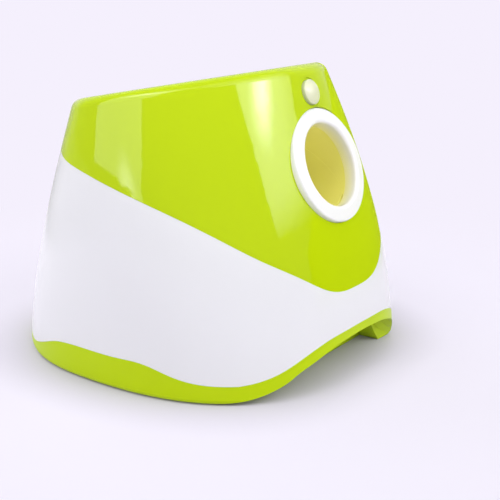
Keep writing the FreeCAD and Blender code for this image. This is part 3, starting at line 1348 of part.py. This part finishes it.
def control_board():
    top = "base_floor + board_clearance + board_thickness"
    plate = box("control_plate", "board_width", "board_length", "board_thickness",
                (0, "board_place", "base_floor + board_clearance"))
    holes = [cylinder(f"control_hole_{number}", "screw_radius + seam_gap", "4 * board_thickness",
                      (x, y, "base_floor + board_clearance - board_thickness"))
             for number, (x, y) in enumerate(BOARD_CORNERS)]
    node(cut("control_cut", plate, *holes), "control_board")
    screws = [screw(f"control_screw_{number}", "board_thickness + thread_depth - 2", (x, y, top),
                    Z_AXIS * -1) for number, (x, y) in enumerate(BOARD_CORNERS)]
    node(grouped("control_screw_group", HERE, *screws), "board_screws")
    node(grouped("chip_group", HERE, box("main_chip", 12, 12, 1.6, (0, "board_place", top)),
                 box("driver_chip_left", 8, 5, 1.5, (-24, "board_place + 6", top)),
                 box("driver_chip_right", 8, 5, 1.5, (24, "board_place + 6", top))), "board_chips")
    node(grouped("capacitor_group", HERE,
                 cylinder("capacitor_left", 5, 12, (-22, "board_place - 12", top)),
                 cylinder("capacitor_right", 5, 12, (22, "board_place - 12", top)),
                 cylinder("capacitor_small", 3.2, 7, (8, "board_place - 16", top))), "board_capacitors")
    headers = [box(f"header_{number}", 10, 6, 7, (x, "board_place + board_length / 2 - 6", top))
               for number, x in enumerate((-24, -8, 8, 24))]
    node(grouped("header_group", HERE, *headers), "board_connectors")
    node(grouped("buzzer_group", HERE, cylinder("buzzer_can", 6, 8, (-6, "board_place - 18", top))),
         "buzzer")


base()
control_board()


# --- Check and write ---------------------------------------------------------------------

doc.recompute()
faults = [obj.Name for obj in doc.Objects if {"Invalid", "Error"} & set(obj.State)]
for obj in nodes:
    if obj.Shape.isNull() or not obj.Shape.isValid() or not obj.Shape.Solids:
        faults.append(obj.Label)
if faults:
    raise RuntimeError("faulty pieces: " + ", ".join(faults))
for obj in nodes:
    obj.Shape.exportStep(f"parts/{obj.Label}.step")
    print(obj.Label, len(obj.Shape.Solids), "solids", round(obj.Shape.Volume), "mm3")
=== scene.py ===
import math

import bpy
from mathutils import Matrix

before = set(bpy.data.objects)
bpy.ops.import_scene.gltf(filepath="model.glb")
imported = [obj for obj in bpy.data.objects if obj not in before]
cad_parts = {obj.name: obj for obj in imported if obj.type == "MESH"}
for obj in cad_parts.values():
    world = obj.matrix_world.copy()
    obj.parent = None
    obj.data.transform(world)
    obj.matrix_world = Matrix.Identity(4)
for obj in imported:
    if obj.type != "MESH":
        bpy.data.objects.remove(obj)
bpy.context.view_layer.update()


# --- Camera -----------------------------------------------------------------
# Three-quarter view from the launcher's front left, a little above its rim.

CAMERA_PLACE = (-0.61645, -0.4788, 0.2937)
CAMERA_TURN = math.radians(-54.66)
CAMERA_DROP = math.radians(16.04)
CAMERA_LENS = 73.43

camera = bpy.data.objects.new("camera", bpy.data.cameras.new("camera"))
camera.data.lens = CAMERA_LENS
camera.location = CAMERA_PLACE
camera.rotation_euler = (math.pi / 2 - CAMERA_DROP, 0, CAMERA_TURN)
bpy.context.scene.collection.objects.link(camera)
bpy.context.scene.camera = camera


# --- Body shell and battery door ----------------------------------------------
# The lower case is injection-moulded white ABS from a polished mould, and the
# battery door is cut to the same curve. Gloss, with the slow ripple that
# shrinkage leaves in a thick wall.

WHITE_ABS = ("#E9E9ED", "#E5E5EA")
WHITE_GLOSS = 0.16
ABS_IOR = 1.57
TINT_DRIFT = 0.090
PEEL_SPACING = 0.0045
SHRINK_SPACING = 0.038
PEEL_DEPTH = 0.000002
RIPPLE_DEPTH = 0.00004
GLOSS_SPREAD = 0.2


def linear(code):
    """An sRGB hex colour as linear red, green, blue and alpha."""
    parts = [int(code[place:place + 2], 16) / 255 for place in (1, 3, 5)]
    return tuple(part / 12.92 if part <= 0.04045 else ((part + 0.055) / 1.055) ** 2.4
                 for part in parts) + (1.0,)


def add_node(owner, kind, sockets=None, **settings):
    """Add a shader node; a socket is given a value, or the output that feeds it."""
    node = owner.node_tree.nodes.new("ShaderNode" + kind)
    for name, value in settings.items():
        setattr(node, name, value)
    for name, value in (sockets or {}).items():
        if isinstance(value, bpy.types.NodeSocket):
            owner.node_tree.links.new(value, node.inputs[name])
        else:
            node.inputs[name].default_value = value
    return node


def new_material(name):
    material = bpy.data.materials.new(name)
    material.use_nodes = True
    material.node_tree.nodes.clear()
    return material


def moulded(name, colours, roughness, peel=PEEL_DEPTH, ripple=RIPPLE_DEPTH, **shader):
    """Moulded thermoplastic: a faint drift of tint, orange peel and mould ripple."""
    material = new_material(name)
    place = add_node(material, "TexCoord").outputs["Object"]
    drift = add_node(material, "TexNoise", {
        "Vector": place, "Scale": 1 / TINT_DRIFT, "Detail": 2.0}).outputs["Fac"]
    tint = add_node(material, "MixRGB", {
        "Fac": drift, "Color1": linear(colours[0]), "Color2": linear(colours[1])})
    gloss = add_node(material, "MapRange", {
        "Value": drift, "To Min": roughness * (1 - GLOSS_SPREAD),
        "To Max": roughness * (1 + GLOSS_SPREAD)})
    fine = add_node(material, "TexNoise", {
        "Vector": place, "Scale": 1 / PEEL_SPACING, "Detail": 1.0})
    broad = add_node(material, "TexNoise", {
        "Vector": place, "Scale": 1 / SHRINK_SPACING, "Detail": 0.0})
    rippled = add_node(material, "Bump", {"Height": broad.outputs["Fac"], "Distance": ripple})
    peeled = add_node(material, "Bump", {
        "Height": fine.outputs["Fac"], "Distance": peel, "Normal": rippled.outputs["Normal"]})
    surface = add_node(material, "BsdfPrincipled", {
        "Base Color": tint.outputs["Color"], "IOR": ABS_IOR,
        "Roughness": gloss.outputs["Result"], "Normal": peeled.outputs["Normal"], **shader})
    add_node(material, "OutputMaterial", {"Surface": surface.outputs["BSDF"]})
    return material


def dress(material, *names):
    """Give CAD pieces their finish."""
    for name in names:
        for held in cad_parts[name].material_slots:
            held.material = material


dress(moulded("white_abs_gloss", WHITE_ABS, WHITE_GLOSS), "body_shell", "battery_door")


# --- Top shell, hopper and base ---------------------------------------------
# The top, the bowl in it and the tray under the case are ABS coloured right
# through with lime pigment. The top and bowl are polished, and the tray is satin.
# The tray's lime is painted a little lighter than the top's, as painted light that
# makes up for the dimmer light low down.

LIME_ABS = ("#BCD405", "#B7D003")
LIME_GLOSS = 0.05
LIME_RIPPLE = 0.00002
# Painted light: the tray's lime is lighter than the top's to make up for its dimmer light.
TRAY_LIME_LIGHTENED = ("#C0DA04", "#BAD402")
TRAY_SATIN = 0.34
TRAY_SHEEN = 0.12

dress(moulded("lime_abs_gloss", LIME_ABS, LIME_GLOSS, ripple=LIME_RIPPLE), "top_shell", "hopper")
dress(moulded("lime_abs_satin", TRAY_LIME_LIGHTENED, TRAY_SATIN, **{"Specular IOR Level": TRAY_SHEEN}), "base")


# --- Muzzle sleeve and launch barrel --------------------------------------------
# Unpainted ABS tubes, left satin because balls scuff them. Their olive colour is
# painted light and shade: it stands in for lime light bounced into the bore and the
# shade inside it. A faint glow of their own is painted light too, for light that
# comes through the wall.

BORE_PAINTED_OLIVE = ("#E6E07C", "#DED870")
OLIVE_SATIN = 0.32
OLIVE_PAINTED_GLOW = 0.18

# Painted light and shade: the olive colour and its glow.
olive = moulded("olive_painted_satin", BORE_PAINTED_OLIVE, OLIVE_SATIN, **{
    "Emission Color": linear(BORE_PAINTED_OLIVE[0]), "Emission Strength": OLIVE_PAINTED_GLOW})
dress(olive, "muzzle_sleeve", "launch_barrel")


# --- Launch ring --------------------------------------------------------------
# A trim ring in bright white ABS with a rolled lip. Down its throat the tube's
# painted olive light and shade, and a painted glow, fade in with depth, so that it
# runs on into the tube behind it.

RING_ABS = ("#F5F5F7", "#F1F1F4")
RING_GLOSS = 0.12
RING_FACE = (0.0, -0.111589, 0.1515)
BARREL_SLOPE = math.radians(21.5)
OLIVE_START = 0.001
OLIVE_FULL = 0.013


def throat_depth(material):
    """How olive the ring is, from not at all at the lip to fully in the throat."""
    place = add_node(material, "TexCoord").outputs["Object"]
    inward = (0.0, math.cos(BARREL_SLOPE), -math.sin(BARREL_SLOPE))
    face = sum(a * b for a, b in zip(RING_FACE, inward))
    along = add_node(material, "VectorMath", {0: place, 1: inward}, operation="DOT_PRODUCT")
    return add_node(material, "MapRange", {
        "Value": along.outputs["Value"], "From Min": face + OLIVE_START,
        "From Max": face + OLIVE_FULL}).outputs["Result"]


def ring_plastic():
    """White gloss ABS that turns to painted olive light and shade down the throat, with a painted
    glow there.
    """
    material = moulded("ring_abs_gloss", RING_ABS, RING_GLOSS, **{"Emission Strength": OLIVE_PAINTED_GLOW})
    surface = material.node_tree.nodes["Principled BSDF"]
    white = surface.inputs["Base Color"].links[0].from_socket
    depth = throat_depth(material)
    # Painted olive light and shade and a painted glow, fading in down the throat.
    for socket, at_lip in (("Base Color", white), ("Emission Color", linear("#000000"))):
        mixed = add_node(material, "MixRGB", {
            "Fac": depth, "Color1": at_lip, "Color2": linear(BORE_PAINTED_OLIVE[0])})
        material.node_tree.links.new(mixed.outputs["Color"], surface.inputs[socket])
    return material


dress(ring_plastic(), "launch_ring")


# --- Power button ----------------------------------------------------------------
# A domed cap in ivory ABS with a satin top, sprung against a small switch.

IVORY_ABS = ("#DEE0C2", "#D9DCBA")
IVORY_SATIN = 0.26

dress(moulded("ivory_abs_satin", IVORY_ABS, IVORY_SATIN), "power_button")


# --- Unpainted inner mouldings ------------------------------------------------------
# Black and natural nylon or ABS from unpolished moulds: hubs, switch bodies,
# gear case, battery tray, chips and plugs.

BLACK_NYLON = ("#1A1B1D", "#202124")
BLACK_MATT = 0.48
NATURAL_NYLON = ("#E4E1CF", "#DAD6C2")
NATURAL_MATT = 0.42
SPARK_TEXTURE = 0.00003

dress(moulded("black_nylon", BLACK_NYLON, BLACK_MATT, SPARK_TEXTURE),
      "left_wheel_hub", "right_wheel_hub", "ball_switch", "button_switch", "feed_gearmotor",
      "battery_box", "board_chips", "buzzer", "power_inlet")
dress(moulded("natural_nylon", NATURAL_NYLON, NATURAL_MATT, SPARK_TEXTURE),
      "feed_arm", "ball_switch_lever", "board_connectors")


# --- Wheel tyres and feet ---------------------------------------------------------------
# Cast polyurethane treads and pressed rubber pads, both matt.

TREAD_GREY = ("#3A3B3D", "#303133")
TREAD_MATT = 0.62
TREAD_GRAIN = 0.00006
RUBBER_BLACK = ("#19191A", "#222223")
RUBBER_MATT = 0.78
RUBBER_GRAIN = 0.00005

dress(moulded("cast_polyurethane", TREAD_GREY, TREAD_MATT, TREAD_GRAIN),
      "left_wheel_tyre", "right_wheel_tyre")
dress(moulded("pressed_rubber", RUBBER_BLACK, RUBBER_MATT, RUBBER_GRAIN), "rubber_feet")


# --- Motors, shafts and fasteners ---------------------------------------------------------
# Zinc-plated screws, ground shafts, drawn spring wire and nickel-plated cans.
# Turning and grinding leave fine marks, and plating clouds a little.

BRUSH_SPACING = 0.0006
CLOUD_SCALE = 90.0
POLISH_RANGE = (0.7, 1.4)
METALS = {
    "zinc_plated_steel": (("#C4C6C8", "#B4B6BA"), 0.30, (
        "ring_screws", "motor_screws", "frame_screws", "base_screws", "board_screws",
        "button_screws", "door_screw", "inlet_nut")),
    "ground_steel": (("#CBCCCE", "#BFC0C3"), 0.18, (
        "left_motor_shaft", "right_motor_shaft", "feed_shaft", "door_hinge_pin")),
    "nickel_plated_can": (("#D2CFC8", "#C6C3BC"), 0.34, ("left_motor", "right_motor")),
    "drawn_spring_wire": (("#B9BABC", "#A6A7AA"), 0.32, ("button_spring", "battery_springs")),
    "nickel_on_brass": (("#D8CFA8", "#CBC092"), 0.28, ("battery_contacts",))}


def metal(name, colours, roughness):
    """Bare or plated metal with fine marks in its polish and a cloudy tint."""
    material = new_material(name)
    place = add_node(material, "TexCoord").outputs["Object"]
    marks = add_node(material, "TexNoise", {
        "Vector": place, "Scale": 1 / BRUSH_SPACING, "Detail": 3.0})
    cloud = add_node(material, "TexNoise", {"Vector": place, "Scale": CLOUD_SCALE, "Detail": 2.0})
    tint = add_node(material, "MixRGB", {
        "Fac": cloud.outputs["Fac"], "Color1": linear(colours[0]), "Color2": linear(colours[1])})
    polish = add_node(material, "MapRange", {
        "Value": marks.outputs["Fac"], "To Min": roughness * POLISH_RANGE[0],
        "To Max": roughness * POLISH_RANGE[1]})
    surface = add_node(material, "BsdfPrincipled", {
        "Base Color": tint.outputs["Color"], "Metallic": 1.0, "Roughness": polish.outputs["Result"]})
    add_node(material, "OutputMaterial", {"Surface": surface.outputs["BSDF"]})
    return material


for name, (colours, roughness, pieces) in METALS.items():
    dress(metal(name, colours, roughness), *pieces)


# --- Boards, cells and capacitors -------------------------------------------------------------
# Green solder mask over woven glass board, and shrink film on cells and cans.

SOLDER_MASK = ("#0E4A26", "#136034")
MASK_GLOSS = 0.30
MASK_WEAVE = 0.00001
FILM_SLEEVE = ("#20242C", "#2A2F39")
FILM_GLOSS = 0.22

dress(moulded("solder_mask", SOLDER_MASK, MASK_GLOSS, MASK_WEAVE), "control_board", "button_board")
dress(moulded("shrink_film", FILM_SLEEVE, FILM_GLOSS), "battery_cells", "board_capacitors")


# --- Floor and backdrop -----------------------------------------------------------------------
# A pale floor that runs on into the backdrop. Close to the launcher it is painted
# to take the shadow, with a painted contact shadow from ambient occlusion in its
# glow, and beyond that it has the backdrop's even colour.

BACKDROP = "#F5F0FD"
FLOOR_PAINT = "#CFCBD5"
SHADOW_PAINT = "#A6A3AD"
FLOOR_GLOW = 0.50
PAINTED_CONTACT_REACH = 0.05
SHADOW_REACH = (0.20, 0.50)
FLOOR_HALF_WIDTH = 30.0
ROOM_LIGHT = 0.26
BACKDROP_SIDE = (0.816, 0.578, 0.0)
BACKDROP_SPREAD = (0.30, 0.85)
BACKDROP_MIRRORED = 0.6


def backdrop_or_lit(owner, seen, lit):
    """The seen shader for camera, glossy and transmission rays, else the lit one."""
    path = add_node(owner, "LightPath")
    direct = add_node(owner, "Math", {
        0: path.outputs["Is Camera Ray"], 1: path.outputs["Is Glossy Ray"]}, operation="MAXIMUM")
    either = add_node(owner, "Math", {
        0: direct.outputs[0], 1: path.outputs["Is Transmission Ray"]}, operation="MAXIMUM")
    return add_node(owner, "MixShader", {0: either.outputs[0], 1: lit, 2: seen}).outputs[0]


def panel(name, corners, material, *, floor=False):
    """A flat four-cornered piece of the studio; only the floor is seen or casts shade."""
    mesh = bpy.data.meshes.new(name)
    mesh.from_pydata(corners, [], [(0, 1, 2, 3)])
    mesh.materials.append(material)
    piece = bpy.data.objects.new(name, mesh)
    piece.visible_camera = floor
    piece.visible_shadow = floor
    bpy.context.scene.collection.objects.link(piece)
    return piece


def floor_paint():
    """Paint that takes the shadow near the launcher, with a painted contact shadow, and fades into
    the backdrop's colour.
    """
    material = new_material("studio_floor")
    place = add_node(material, "NewGeometry").outputs["Position"]
    away = add_node(material, "VectorMath", {0: place}, operation="LENGTH")
    fade = add_node(material, "MapRange", {
        "Value": away.outputs["Value"], "From Min": SHADOW_REACH[0],
        "From Max": SHADOW_REACH[1]}, interpolation_type="SMOOTHSTEP")
    shade = add_node(material, "BsdfDiffuse", {"Color": linear(SHADOW_PAINT)})
    # Ambient occlusion darkens the glow near the launcher: a painted contact shadow.
    painted_contact_shadow = add_node(material, "AmbientOcclusion", {
        "Color": linear(BACKDROP), "Distance": PAINTED_CONTACT_REACH})
    glow = add_node(material, "Emission", {
        "Color": painted_contact_shadow.outputs["Color"], "Strength": FLOOR_GLOW})
    near = add_node(material, "AddShader", {0: shade.outputs[0], 1: glow.outputs[0]})
    far = add_node(material, "Emission", {"Color": linear(BACKDROP), "Strength": 1.0})
    seen = add_node(material, "MixShader", {
        0: fade.outputs["Result"], 1: near.outputs[0], 2: far.outputs[0]})
    lit = add_node(material, "BsdfDiffuse", {"Color": linear(FLOOR_PAINT)})
    surface = backdrop_or_lit(material, seen.outputs[0], lit.outputs[0])
    add_node(material, "OutputMaterial", {"Surface": surface})
    return material


def make_room():
    """Even dim light, with the backdrop seen behind the launcher and in part mirrored there."""
    world = bpy.data.worlds.new("studio")
    world.use_nodes = True
    world.node_tree.nodes.clear()
    seen = add_node(world, "Background", {"Color": linear(BACKDROP), "Strength": 1.0})
    lit = add_node(world, "Background", {"Color": linear("#FFFFFF"), "Strength": ROOM_LIGHT})
    way = add_node(world, "TexCoord").outputs["Generated"]
    facing = add_node(world, "VectorMath", {0: way, 1: BACKDROP_SIDE}, operation="DOT_PRODUCT")
    behind = add_node(world, "MapRange", {
        "Value": facing.outputs["Value"], "From Min": BACKDROP_SPREAD[0],
        "From Max": BACKDROP_SPREAD[1], "To Max": BACKDROP_MIRRORED},
        interpolation_type="SMOOTHSTEP")
    mirrored = add_node(world, "MixShader", {
        0: behind.outputs["Result"], 1: lit.outputs[0], 2: seen.outputs[0]})
    path = add_node(world, "LightPath")
    bounced = add_node(world, "Math", {
        0: path.outputs["Is Glossy Ray"], 1: path.outputs["Is Transmission Ray"]},
        operation="MAXIMUM")
    unseen = add_node(world, "MixShader", {
        0: bounced.outputs[0], 1: lit.outputs[0], 2: mirrored.outputs[0]})
    shown = add_node(world, "MixShader", {
        0: path.outputs["Is Camera Ray"], 1: unseen.outputs[0], 2: seen.outputs[0]})
    add_node(world, "OutputWorld", {"Surface": shown.outputs[0]})
    bpy.context.scene.world = world


FLOOR_CORNERS = [(x * FLOOR_HALF_WIDTH, y * FLOOR_HALF_WIDTH, 0)
                 for x, y in ((-1, -1), (1, -1), (1, 1), (-1, 1))]
panel("floor", FLOOR_CORNERS, floor_paint(), floor=True)
make_room()


# --- Softboxes ----------------------------------------------------------------------------------
# Two tall softboxes of white cloth, in front and to the left. Each glows brighter
# near the lamps behind it, given as place, reach and strength.

FRONT_SOFTBOX = [(-0.09, -1.1, 0.36), (0.70, -1.1, 0.29), (3.50, -1.1, 4.6), (-1.69, -1.1, 4.6)]
FRONT_STRENGTH = 0.9
FRONT_LAMPS = [((0.10, -1.1, 0.95), 1.25, 2.9), ((0.05, -1.1, 0.92), 0.30, 11.0)]
FRONT_FOOT = (0.27, 0.50)
LEFT_SOFTBOX = [(-1.1, 0.80, 0.33), (-1.1, -0.085, 0.34), (-1.1, -1.53, 4.6), (-1.1, 2.0, 4.6)]
LEFT_STRENGTH = 1.7
LEFT_LAMPS = [((-1.1, 0.12, 0.34), 0.20, 3.0), ((-1.1, 0.1, 2.6), 1.1, 5.0)]


def softbox_cloth(name, strength, lamps=(), foot=None):
    """Glowing cloth, brighter near each lamp behind it, and faded at its foot."""
    material = new_material(name)
    power = strength
    for place, reach, extra in lamps:
        here = add_node(material, "NewGeometry").outputs["Position"]
        apart = add_node(material, "VectorMath", {0: here, 1: place}, operation="DISTANCE")
        near = add_node(material, "MapRange", {
            "Value": apart.outputs["Value"], "From Max": reach, "To Min": extra, "To Max": 0.0},
            interpolation_type="SMOOTHSTEP")
        total = add_node(material, "Math", {0: power, 1: near.outputs["Result"]}, operation="ADD")
        power = total.outputs[0]
    if foot is not None:
        here = add_node(material, "NewGeometry").outputs["Position"]
        height = add_node(material, "SeparateXYZ", {0: here})
        rise = add_node(material, "MapRange", {
            "Value": height.outputs["Z"], "From Min": foot[0], "From Max": foot[1]},
            interpolation_type="SMOOTHSTEP")
        dimmed = add_node(material, "Math", {0: power, 1: rise.outputs["Result"]},
                          operation="MULTIPLY")
        power = dimmed.outputs[0]
    glow = add_node(material, "Emission", {"Color": linear("#FFFFFF"), "Strength": power})
    add_node(material, "OutputMaterial", {"Surface": glow.outputs[0]})
    return material


panel("front_softbox", FRONT_SOFTBOX,
      softbox_cloth("front_softbox_cloth", FRONT_STRENGTH, FRONT_LAMPS, FRONT_FOOT))
panel("left_softbox", LEFT_SOFTBOX,
      softbox_cloth("left_softbox_cloth", LEFT_STRENGTH, LEFT_LAMPS))


# --- Fill cards and painted reflection cards ------------------------------------------------------
# Four pale cards light the sides and the back, and reflections don't see them. Two
# cards are seen by reflections alone: painted reflections, lime and grey, that hide
# the pale floor from the gloss.

FILL_CARDS = {
    "left_fill": ([(-1.6, -0.3, 0.1), (-1.6, 1.2, 0.1), (-1.6, 1.2, 1.8), (-1.6, -0.3, 1.8)], 1.1),
    "near_fill": ([(-1.75, -0.45, 0.1), (-0.65, -1.75, 0.1), (-0.65, -1.75, 1.8),
                   (-1.75, -0.45, 1.8)], 0.60),
    "right_fill": ([(1.7, -0.9, 0.3), (1.7, 1.2, 0.3), (1.7, 1.2, 1.8), (1.7, -0.9, 1.8)], 1.0),
    "back_fill": ([(-1.2, 1.6, 0.4), (1.2, 1.6, 0.4), (1.2, 1.6, 2.2), (-1.2, 1.6, 2.2)], 2.2)}
REFLECTION_CARDS = {
    "right_card": ([(0.45, -1.2, 0.0), (0.45, 0.3, 0.0), (0.45, 0.3, 0.25), (0.45, -1.2, 0.25)],
                   "#B4C63A"),
    "left_card": ([(-0.9, 0.55, 0.0), (0.3, 0.55, 0.0), (0.3, 0.55, 0.22), (-0.9, 0.55, 0.22)],
                  "#A8A8A4")}

for name, (corners, strength) in FILL_CARDS.items():
    panel(name, corners, softbox_cloth(name + "_cloth", strength)).visible_glossy = False

# Sheets seen only in reflections: painted reflections that hide the floor.
for name, (corners, colour) in REFLECTION_CARDS.items():
    reflection_sheet = new_material(name + "_painted_reflection")
    reflected_colour = add_node(reflection_sheet, "BsdfDiffuse", {"Color": linear(colour)})
    add_node(reflection_sheet, "OutputMaterial", {"Surface": reflected_colour.outputs[0]})
    card = panel(name, corners, reflection_sheet)
    card.visible_diffuse = False
    card.visible_transmission = False

scene = bpy.context.scene
scene.view_settings.view_transform = "Standard"
